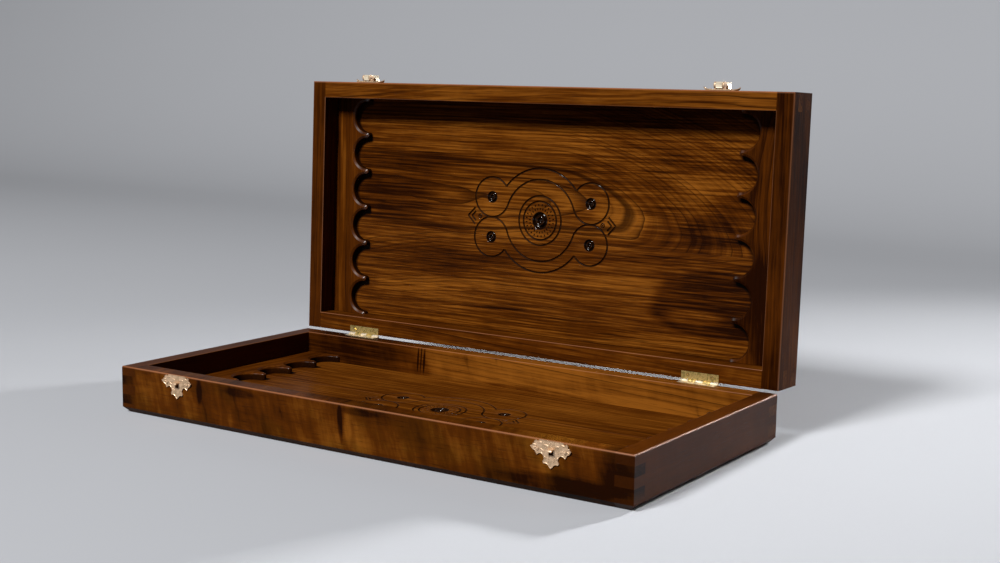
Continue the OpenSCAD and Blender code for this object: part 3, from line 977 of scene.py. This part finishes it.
class BOARD_OT_playing_boards(bpy.types.Operator):
    """Models the four planks of the playing boards with their carving"""

    bl_idname = "board.playing_boards"
    bl_label = "Playing Boards"

    def execute(self, context):
        figures = {
            "base_front": Figure(
                31.0, (0.05, 0.03), 0.06, 0.005, fibres=1.1, mottle=0.7, shade=-0.05
            ),
            "base_back": Figure(
                47.0, (-0.04, 0.05), -0.05, 0.005, fibres=1.1, mottle=0.7, shade=-0.06
            ),
            "lid_front": Figure(
                12.0, (-0.025, 0.034), 0.02, 0.0028, bend_from=0.02, lean=0.26, dive=0.72, sway=0.4,
                curl=0.15, mottle=0.6, fibres=1.8, edge=0.05, wear_and_sheen=0.05, bold=(0.0602,),
                patches=(
                    (-0.2, -0.025, 0.06, 0.035, -0.3, 0.6), (-0.1, -0.056, 0.13, 0.006, -0.15, 0.6),
                    (0.03, -0.088, 0.2, 0.016, 0.12), (0.1, -0.008, 0.03, 0.016, 0.3),
                    (0.2, -0.048, 0.035, 0.012, 0.3), (0.2, 0.0, 0.03, 0.018, -0.3),
                    (0.0, 0.0, 0.085, 0.045, 0.18, 0.6),
                ),
            ),
            "lid_back": Figure(
                21.0, (-0.02, 0.06), 0.05, 0.0028, sway=0.6, curl=0.15, mottle=0.6, fibres=1.8,
                edge=0.05, wear_and_sheen=0.05,
                patches=(
                    (0.208, 0.068, 0.075, 0.033, -0.3, 0.12), (0.185, 0.084, 0.03, 0.007, 0.3),
                    (0.1, 0.057, 0.05, 0.009, 0.25), (-0.15, 0.083, 0.07, 0.012, 0.2),
                    (-0.14, 0.05, 0.1, 0.012, -0.2, 0.6),
                ),
            ),
        }
        tools = carving_tools()
        planks = {
            "front": plank("base_front_board", -HALF_D / 2, JOINT_BACK),
            "back": plank("base_back_board", JOINT_BACK, HALF_D / 2),
        }
        for place, piece in planks.items():
            for tool in tools:
                combine(piece, tool, "DIFFERENCE", keep=place == "front")
            smooth(piece)
        for place, piece in planks.items():
            raised = twin(piece, f"lid_{place}_board", LID_PLACE, True)
            for half, board in (("base", piece), ("lid", raised)):
                key = f"{half}_{place}"
                name = f"walnut_{key}_board"
                dress(board, walnut(name, figures[key], half == "lid", carved=True))
                declare(board, f"{half}_tray", f"{key}_plank")
        return {"FINISHED"}


def rail_outline():
    """Plan of the left rail, round the tips of its cusps and the notches between them."""
    back_x = PANEL_CLEAR - INNER_L / 2
    tip_x = RAIL_REACH - INNER_L / 2
    far_y = INNER_D / 2 + RAIL_SPARE
    outline = [(back_x, far_y), (back_x, -far_y), (tip_x, -far_y)]
    for index in range(-NOTCHES, NOTCHES + 1):
        is_tip = index % 2 == NOTCHES % 2
        radius = CUSP_W / 2 if is_tip else NOTCH_R
        steps = TIP_STEPS if is_tip else NOTCH_STEPS
        for step in range(steps):
            angle = math.pi * (step / steps - 0.5)
            x = tip_x - CUSP_W / 2 + (radius if is_tip else -radius) * math.cos(angle)
            y = index * PITCH / 2 + radius * math.sin(angle)
            if abs(y) < INNER_D / 2 + 1e-6:
                outline.append((x, y))
    return outline + [(tip_x, far_y)]


class BOARD_OT_point_rails(bpy.types.Operator):
    """Models the four rails with their half-round notches and bevelled cusps"""

    bl_idname = "board.point_rails"
    bl_label = "Point Rails"

    def execute(self, context):
        width = context.scene.board_carving.edge_round
        bevel_h = width * sum(rise for inwards, rise in RAIL_BEVEL)
        rail = slab("base_left_point_rail", rail_outline(), PANEL_T, PANEL_T + RAIL_H - bevel_h)
        choose(rail, "FACE", lambda face: face.normal.z > 0.9)
        for inwards, rise in RAIL_BEVEL:
            bpy.ops.mesh.inset(thickness=inwards * width, depth=rise * width)
        for end in (-1, 1):
            bpy.ops.mesh.select_all(action="SELECT")
            bpy.ops.mesh.bisect(
                plane_co=(0, end * (INNER_D / 2 - PANEL_CLEAR), 0), plane_no=(0, end, 0),
                use_fill=True, clear_outer=True,
            )
        leave()
        smooth(rail)
        flip = Matrix.Scale(-1, 4, (1, 0, 0))
        rails = {
            "base_left": rail,
            "base_right": twin(rail, "base_right_point_rail", flip, True),
            "lid_left": twin(rail, "lid_left_point_rail", LID_PLACE, True),
            "lid_right": twin(rail, "lid_right_point_rail", LID_PLACE @ flip, False),
        }
        shades = {"base_left": 0.1, "base_right": 0.05, "lid_left": 0.1, "lid_right": 0.2}
        for index, (key, piece) in enumerate(rails.items()):
            half, side = key.split("_")
            pith = (0.24 if side == "right" else -0.24, 0.03)
            figure = Figure(
                60.0 + 5 * index, pith, 0.03, 0.005, mottle=0.8, shade=shades[key], edge=0.15,
                wear_and_sheen=0.0, notched=True,
                patches=((0.075, 0.25, 0.05, 0.05, -0.3),) if key == "lid_right" else (),
            )
            dress(piece, walnut(f"walnut_{key}_rail", figure, half == "lid", crosswise=True))
            declare(piece, f"{half}_tray", f"{key}_rail")
        return {"FINISHED"}


class BOARD_OT_frames(bpy.types.Operator):
    """Finishes the walls of both halves"""

    bl_idname = "board.frames"
    bl_label = "Frames"

    def execute(self, context):
        smooth_side = {"streaks": 0.12, "fibres": 0.2, "mottle": 0.5, "curl": 0.15}
        figures = {
            "base_front": Figure(
                80.0, (-0.19, 0.02), 0.05, 0.006, streaks=0.12, fibres=0.2, curl=0.9, mottle=1.2,
                olive=0.4, shade=0.04, wear_and_sheen=0.6, ends=0.1, end_gloss=0.18, upright=True,
                patches=(
                    (-0.287, 0.025, 0.014, 0.05, -0.35), (-0.185, 0.034, 0.0035, 0.013, -0.3),
                    (-0.133, 0.04, 0.02, 0.004, -0.25), (-0.006, 0.03, 0.0025, 0.017, -0.45),
                    (0.002, 0.028, 0.004, 0.016, 0.2), (0.014, 0.042, 0.02, 0.003, -0.25),
                    (0.277, 0.032, 0.025, 0.02, -0.35, 0.3), (0.222, 0.011, 0.06, 0.008, -0.3),
                ),
            ),
            "base_back": Figure(
                89.0, (0.2, 0.03), 0.05, 0.005, streaks=0.8, fibres=0.6, curl=0.35, shade=-0.17,
                wear_and_sheen=0.5, ends=0.5, end_gloss=0.18, upright=True,
                patches=(
                    (-0.2, 0.03, 0.07, 0.04, -0.35), (-0.114, 0.034, 0.0011, 0.012, -0.5),
                    (-0.1098, 0.036, 0.0008, 0.014, -0.5), (-0.1055, 0.033, 0.0013, 0.013, -0.5),
                    (-0.108, 0.022, 0.012, 0.009, -0.2, 0.5), (0.1, 0.03, 0.16, 0.04, 0.16, 0.5),
                    (0.14, 0.02, 0.08, 0.006, 0.3), (0.04, 0.0185, 0.07, 0.003, -0.3),
                ),
            ),
            "base_left": Figure(
                98.0, (-0.33, 0.02), 0.05, 0.006, shade=0.1, wear_and_sheen=0.5, **smooth_side
            ),
            "base_right": Figure(
                107.0, (0.34, 0.01), 0.05, 0.006, shade=0.15, gloss=0.18, edge=0.95, wear_and_sheen=0.7,
                ends=0.6, **smooth_side
            ),
            "lid_front": Figure(
                120.0, (-0.19, 0.02), 0.05, 0.005, fibres=0.9, shade=-0.09, wear_and_sheen=0.5
            ),
            "lid_back": Figure(
                129.0, (0.2, 0.03), 0.05, 0.005, fibres=0.9, curl=0.2, shade=0.04, wear_and_sheen=0.5
            ),
            "lid_left": Figure(
                138.0, (-0.33, 0.02), 0.05, 0.006, streaks=0.6, shade=0.13, wear_and_sheen=0.5
            ),
            "lid_right": Figure(
                147.0, (0.34, 0.01), 0.05, 0.006, streaks=0.6, shade=0.22, wear_and_sheen=0.4
            ),
        }
        for key, figure in figures.items():
            crosswise = key.endswith(("left", "right"))
            material = walnut(f"walnut_{key}_wall", figure, key.startswith("lid"), crosswise)
            dress_nodes(material, f"{key}_wall")
        return {"FINISHED"}


def latch_place(side):
    """Takes a latch from its own frame, with Y up the wall and Z out of it, to the lower half."""
    spot = Matrix.Translation((side * LATCH_X, -HALF_D / 2, HALF_H - PLATE_EDGE))
    return spot @ Matrix.Rotation(math.pi / 2, 4, "X")


def plate(name, curl):
    """A stamped plate in a latch's own frame, whose wings curl up at the tips."""
    half = [(x * PLATE_W / 2, -y * PLATE_DROP) for x, y in PLATE_SHARES]
    outline = half + [(0, -PLATE_DROP)] + [(-x, y) for x, y in reversed(half)]
    piece = slab(name, outline, 0, PLATE_T)
    choose(piece, "FACE", lambda face: face.normal.z > 0.9)
    bpy.ops.mesh.inset(thickness=PLATE_RIM, depth=0)
    bpy.ops.mesh.inset(thickness=PLATE_SLOPE, depth=-PLATE_SINK)
    leave()
    for leaf_x, leaf_y, half_l, half_w, turn in PLATE_LEAVES:
        for side in (-1, 1):
            deselect()
            bpy.ops.mesh.primitive_uv_sphere_add(
                segments=20, ring_count=10, radius=1,
                location=(side * leaf_x * MM, leaf_y * MM, EMBOSS_Z),
                rotation=(0, 0, side * math.radians(turn)),
                scale=(half_l * MM, half_w * MM, EMBOSS_H),
            )
            combine(piece, settle("leaf"), "UNION")
    nails = gather("nail_tool", [
        rod("nail_tool", NAIL_R, (x, NAIL_Y, -MM), (x, NAIL_Y, 2 * MM), 16)
        for x in (-NAIL_X, NAIL_X)
    ])
    combine(piece, nails, "DIFFERENCE")
    take(piece)
    bpy.ops.object.mode_set(mode="EDIT")
    reach = int(PLATE_W / 2 / PLATE_FACET)
    for cut in range(-reach, reach + 1):
        bpy.ops.mesh.select_all(action="SELECT")
        bpy.ops.mesh.bisect(plane_co=(cut * PLATE_FACET, 0, 0), plane_no=(1, 0, 0))
    leave()
    for vertex in piece.data.vertices:
        share = max(abs(vertex.co.x) / (PLATE_W / 2) - CURL_FROM, 0) / (1 - CURL_FROM)
        vertex.co.z += curl * share**CURL_POWER
    return piece


def pair(left, raised, shift=Matrix.Identity(4)):
    """Copies a left fitting and puts both on the front wall of the lower or the raised half."""
    right = twin(left, left.name.replace("left", "right"), Matrix.Identity(4), False)
    for side, piece in ((-1, left), (1, right)):
        place = latch_place(side) @ shift
        if raised:
            piece.data.flip_normals()
            place = LID_PLACE @ place
        piece.data.transform(place)
    return {"left": left, "right": right}


class BOARD_OT_keepers(bpy.types.Operator):
    """Models the two lower plates with their bills"""

    bl_idname = "board.keepers"
    bl_label = "Keeper Plates"

    def execute(self, context):
        material = metal("keeper_brass", tuple(context.scene.board_metal.rose), 0.35, 0.4, 0.45)
        top = PLATE_EDGE - BILL_DOWN + BILL_H / 2
        straight = AXIS_OUT - PLATE_T - BILL_H + SHUT_GAP
        keeper = plate("left_keeper_plate", KEEPER_CURL)
        hole = block(
            "hole_tool",
            (-PUNCH_W / 2, top - BILL_T - PUNCH_H, -MM), (PUNCH_W / 2, top - BILL_T, 3 * MM),
        )
        combine(keeper, hole, "DIFFERENCE")
        bill = block(
            "bill",
            (-BILL_W / 2, top - BILL_T, 0.5 * PLATE_T), (BILL_W / 2, top, PLATE_T + straight),
        )
        choose(bill, "FACE", lambda face: face.normal.z > 0.9)
        bpy.ops.mesh.spin(
            steps=5, angle=math.pi / 2, center=(0, top - BILL_H, PLATE_T + straight),
            axis=(-1, 0, 0),
        )
        turn_outwards()
        soften(
            bill, BILL_ROUND, 5,
            lambda edge: sharp(edge) and middle(edge).z > 0.6 * PLATE_T
            and abs(edge.verts[0].co.x - edge.verts[1].co.x) < 1e-5 and middle(edge).y > top - 1e-5,
        )
        soften(bill, BILL_EASE, 2, lambda edge: sharp(edge) and middle(edge).z > PLATE_T)
        combine(keeper, bill, "UNION")
        smooth(keeper)
        dress(keeper, material)
        for side, piece in pair(keeper, False).items():
            declare(piece, "base_tray", f"{side}_keeper")
        dress_nodes(material, "keeper_nails")
        return {"FINISHED"}


class BOARD_OT_latch_plates(bpy.types.Operator):
    """Models the two upper plates with the ears that hold the hasps"""

    bl_idname = "board.latch_plates"
    bl_label = "Latch Plates"

    def execute(self, context):
        metals = context.scene.board_metal
        material = metal("latch_brass", tuple(metals.rose), 0.35, 0.4, 0.45)
        latch = plate("left_latch_stamping", metals.curl)
        for x in (-HASP_W / 2, HASP_W / 2 - EAR_T):
            far_x = x + EAR_T
            ear = rod("ear", EAR_R, (x, -AXIS_DOWN, AXIS_OUT), (far_x, -AXIS_DOWN, AXIS_OUT), 40)
            root = block(
                "ear_root",
                (x, -AXIS_DOWN - 0.75 * EAR_R, 0.5 * PLATE_T), (far_x, -0.3 * MM, AXIS_OUT),
            )
            combine(ear, root, "UNION")
            soften(ear, EAR_EASE, 2, lambda edge: sharp(edge) and middle(edge).z > 1.3 * PLATE_T)
            combine(latch, ear, "UNION")
        smooth(latch)
        dress(latch, material)
        for side, piece in pair(latch, True).items():
            declare(piece, "lid_tray", f"{side}_latch_plate")
        dress_nodes(material, "latch_nails", "left_hasp_pin", "right_hasp_pin")
        return {"FINISHED"}


class BOARD_OT_hasps(bpy.types.Operator):
    """Models the two hasps with their knuckle, arch, window and lip"""

    bl_idname = "board.hasps"
    bl_label = "Hasps"

    def execute(self, context):
        material = metal("hasp_brass", tuple(context.scene.board_metal.pale), 0.35, 0.25, 0.3)
        half_w, half_k, far = HASP_W / 2, KNUCKLE_W / 2, 20 * MM
        half_gap = BILL_W / 2 + WINDOW_ROOM
        arch_far = WINDOW_NEAR - WINDOW_WALL
        arch_r = (arch_far - BODY_NEAR + ARCH_BITE) / 2
        arch_y, arch_z = arch_r - arch_far, -ARCH_DROP * arch_r
        lip_z = FOOT_LOW + LIP_R
        hasp = block(
            "left_hasp_body", (-half_w, -BODY_FAR, FOOT_LOW), (half_w, -BODY_NEAR, STRAP_TOP)
        )
        solids = [
            rod("lip", LIP_R, (-half_w, -BODY_FAR, lip_z), (half_w, -BODY_FAR, lip_z)),
            block("strap", (-half_k, -BODY_NEAR - MM, STRAP_TOP - STRAP_T), (half_k, 0, STRAP_TOP)),
            rod("knuckle", KNUCKLE_R, (-half_k, 0, 0), (half_k, 0, 0), 48),
        ]
        cuts = [
            rod("bore", BORE_R, (-far, 0, 0), (far, 0, 0), 24),
            rod("arch", arch_r, (-far, arch_y, arch_z), (far, arch_y, arch_z), 40),
            block(
                "window",
                (-half_gap, -WINDOW_FAR, FOOT_LOW - MM), (half_gap, -WINDOW_NEAR, STRAP_TOP + MM),
            ),
        ]
        for tool in solids:
            combine(hasp, tool, "UNION")
        for tool in cuts:
            combine(hasp, tool, "DIFFERENCE")
        soften(hasp, HASP_EASE, 2)
        smooth(hasp)
        dress(hasp, material)
        axis = Matrix.Translation((0, -AXIS_DOWN, AXIS_OUT))
        for side, piece in pair(hasp, True, axis).items():
            declare(piece, f"{side}_hasp", f"{side}_hasp")
        return {"FINISHED"}


class BOARD_OT_hinges(bpy.types.Operator):
    """Models the slotted hinge screws and finishes the hinges"""

    bl_idname = "board.hinges"
    bl_label = "Hinges"

    def execute(self, context):
        brass = tuple(context.scene.board_metal.brass)
        leaf = metal("hinge_brass", tuple(context.scene.board_metal.pale), 0.38, 0.75, 0.5)
        stained = metal("stained_hinge_brass", brass, 0.38, 1.0, 0.8)
        screws = []
        places = [hinge + screw for hinge in (-HINGE_X, HINGE_X) for screw in (-SCREW_X, SCREW_X)]
        for x, turn in zip(places, SLOT_TURNS):
            deselect()
            bpy.ops.mesh.primitive_cone_add(
                vertices=32, radius1=SCREW_R, radius2=SCREW_HEAD_R, depth=LEAF_T,
                location=(x, SCREW_Y, LEAF_TOP - LEAF_T / 2),
            )
            screw = settle("screw")
            choose(screw, "FACE", lambda face: face.normal.z < -0.9)
            for length in (SCREW_L - LEAF_T - SCREW_TIP_L, SCREW_TIP_L):
                bpy.ops.mesh.extrude_region_move(TRANSFORM_OT_translate={"value": (0, 0, -length)})
            bpy.ops.transform.resize(
                value=(SCREW_TIP_SHARE, SCREW_TIP_SHARE, 1), center_override=(x, SCREW_Y, 0)
            )
            leave()
            deselect()
            bpy.ops.mesh.primitive_cube_add(
                size=1, location=(x, SCREW_Y, LEAF_TOP), rotation=(0, 0, turn),
                scale=(3 * SCREW_HEAD_R, SLOT_W, SLOT_H),
            )
            combine(screw, settle("slot_tool"), "DIFFERENCE")
            screws.append(screw)
        screws = gather("base_hinge_slotted_screws", screws)
        smooth(screws)
        dress(screws, metal("screw_brass", brass, 0.25, 0.4))
        raised = twin(screws, "lid_hinge_slotted_screws", LID_PLACE, True)
        for half, piece, material in (("base", screws, leaf), ("lid", raised, stained)):
            declare(piece, f"{half}_tray", f"{half}_hinge_screws")
            dress_nodes(material, f"{half}_left_hinge_leaf", f"{half}_right_hinge_leaf")
        dress_nodes(leaf, "left_hinge_pin", "right_hinge_pin")
        return {"FINISHED"}


def soft_lamp(name, power, place, target, size, spread):
    """Adds a square softbox that looks at a point."""
    deselect()
    place, target = Vector(place), Vector(target)
    bpy.ops.object.light_add(
        type="AREA", location=place, rotation=(target - place).to_track_quat("-Z", "Y").to_euler()
    )
    lamp = bpy.context.object
    lamp.name = name
    lamp.data.energy = power
    lamp.data.size = size
    lamp.data.spread = math.radians(spread)


class BOARD_OT_stage(bpy.types.Operator):
    """Sets the floor, backdrop, lamps and camera"""

    bl_idname = "board.stage"
    bl_label = "Stage"

    def execute(self, context):
        scene = context.scene
        settings = scene.board_stage
        deselect()
        bpy.ops.mesh.primitive_grid_add(x_subdivisions=60, y_subdivisions=60, size=FLOOR_SIZE)
        floor = settle("floor")
        for vertex in floor.data.vertices:
            past = vertex.co.y - FLOOR_BEND_Y
            if past > 0:
                turn = min(past / FLOOR_BEND_R, math.pi / 2)
                upright = max(past - FLOOR_BEND_R * math.pi / 2, 0)
                vertex.co.y = FLOOR_BEND_Y + FLOOR_BEND_R * math.sin(turn)
                vertex.co.z = FLOOR_BEND_R * (1 - math.cos(turn)) + upright
        smooth(floor, 60)
        finish = Finish("floor_paper")
        place = finish.node("ShaderNodeTexCoord", {}, output="Object")
        cloud = finish.streaks(place, (3, 3, 3), 0.0, 2.0)
        tone = tuple(settings.floor)
        shown = finish.mix(cloud * 0.12, tone, [0.85 * share for share in tone])
        direct = finish.node("ShaderNodeLightPath", {}, output="Is Camera Ray")
        for ray in ("Is Glossy Ray", "Is Transmission Ray"):
            direct = finish.math(
                "MAXIMUM", direct, finish.node("ShaderNodeLightPath", {}, output=ray)
            )
        finish.surface({
            "Base Color": finish.mix(direct, tuple(settings.bounce), shown),
            "Roughness": 0.9,
            "Specular IOR Level": 0.1,
        })
        dress(floor, finish.material)

        for which, lamp in LAMPS.items():
            soft_lamp(f"{which}_light", getattr(settings, which), *lamp)
        world = bpy.data.worlds.new("air")
        world.use_nodes = True
        air = world.node_tree.nodes["Background"]
        air.inputs["Color"].default_value = (1, 1, 1, 1)
        air.inputs["Strength"].default_value = settings.air
        scene.world = world
        scene.view_settings.view_transform = "Standard"

        yaw, pitch, roll = map(math.radians, (CAMERA_YAW, CAMERA_PITCH, CAMERA_ROLL))
        ahead = Vector((
            math.sin(yaw) * math.cos(pitch), math.cos(yaw) * math.cos(pitch), -math.sin(pitch),
        ))
        level = Vector((math.cos(yaw), -math.sin(yaw), 0))
        up = level.cross(ahead)
        right = level * math.cos(roll) + up * math.sin(roll)
        top = up * math.cos(roll) - level * math.sin(roll)
        deselect()
        bpy.ops.object.camera_add()
        camera = bpy.context.object
        camera.name = "photo_camera"
        turn = Matrix((right, top, -ahead)).transposed().to_4x4()
        camera.matrix_world = Matrix.Translation(CAMERA_PLACE) @ turn
        camera.data.sensor_width = CAMERA_SENSOR
        camera.data.lens = CAMERA_LENS
        camera.data.clip_end = CAMERA_FAR
        scene.camera = camera
        return {"FINISHED"}


class BOARD_PT_pieces(bpy.types.Panel):
    """Lists the steps that build and light the board"""

    bl_label = "Backgammon Board"
    bl_idname = "BOARD_PT_pieces"
    bl_space_type = "VIEW_3D"
    bl_region_type = "UI"
    bl_category = "Board"

    def draw(self, context):
        for step in STEPS:
            self.layout.operator(step.bl_idname)
        for group in SETTINGS:
            settings = getattr(context.scene, group)
            box = self.layout.box()
            for key in settings.bl_rna.properties.keys():
                if key not in ("rna_type", "name"):
                    box.prop(settings, key)


STEPS = (
    BOARD_OT_frames, BOARD_OT_playing_boards, BOARD_OT_point_rails, BOARD_OT_keepers,
    BOARD_OT_latch_plates, BOARD_OT_hasps, BOARD_OT_hinges, BOARD_OT_stage,
)
SETTINGS = {
    "board_carving": CarvingSettings,
    "board_wood": WoodSettings,
    "board_metal": MetalSettings,
    "board_stage": StageSettings,
}


def register():
    """Adds the settings, the steps and the panel."""
    for group in SETTINGS.values():
        bpy.utils.register_class(group)
    for name, group in SETTINGS.items():
        setattr(bpy.types.Scene, name, PointerProperty(type=group))
    for step in (*STEPS, BOARD_PT_pieces):
        bpy.utils.register_class(step)


def unregister():
    """Takes the panel, the steps and the settings away again."""
    for step in reversed((*STEPS, BOARD_PT_pieces)):
        bpy.utils.unregister_class(step)
    for name, group in reversed(SETTINGS.items()):
        delattr(bpy.types.Scene, name)
        bpy.utils.unregister_class(group)


def main():
    """Builds the board and lights it."""
    register()
    bpy.ops.board.stage()
    bpy.ops.board.frames()
    bpy.ops.board.playing_boards()
    bpy.ops.board.point_rails()
    bpy.ops.board.keepers()
    bpy.ops.board.latch_plates()
    bpy.ops.board.hasps()
    bpy.ops.board.hinges()


if __name__ == "__main__":
    main()
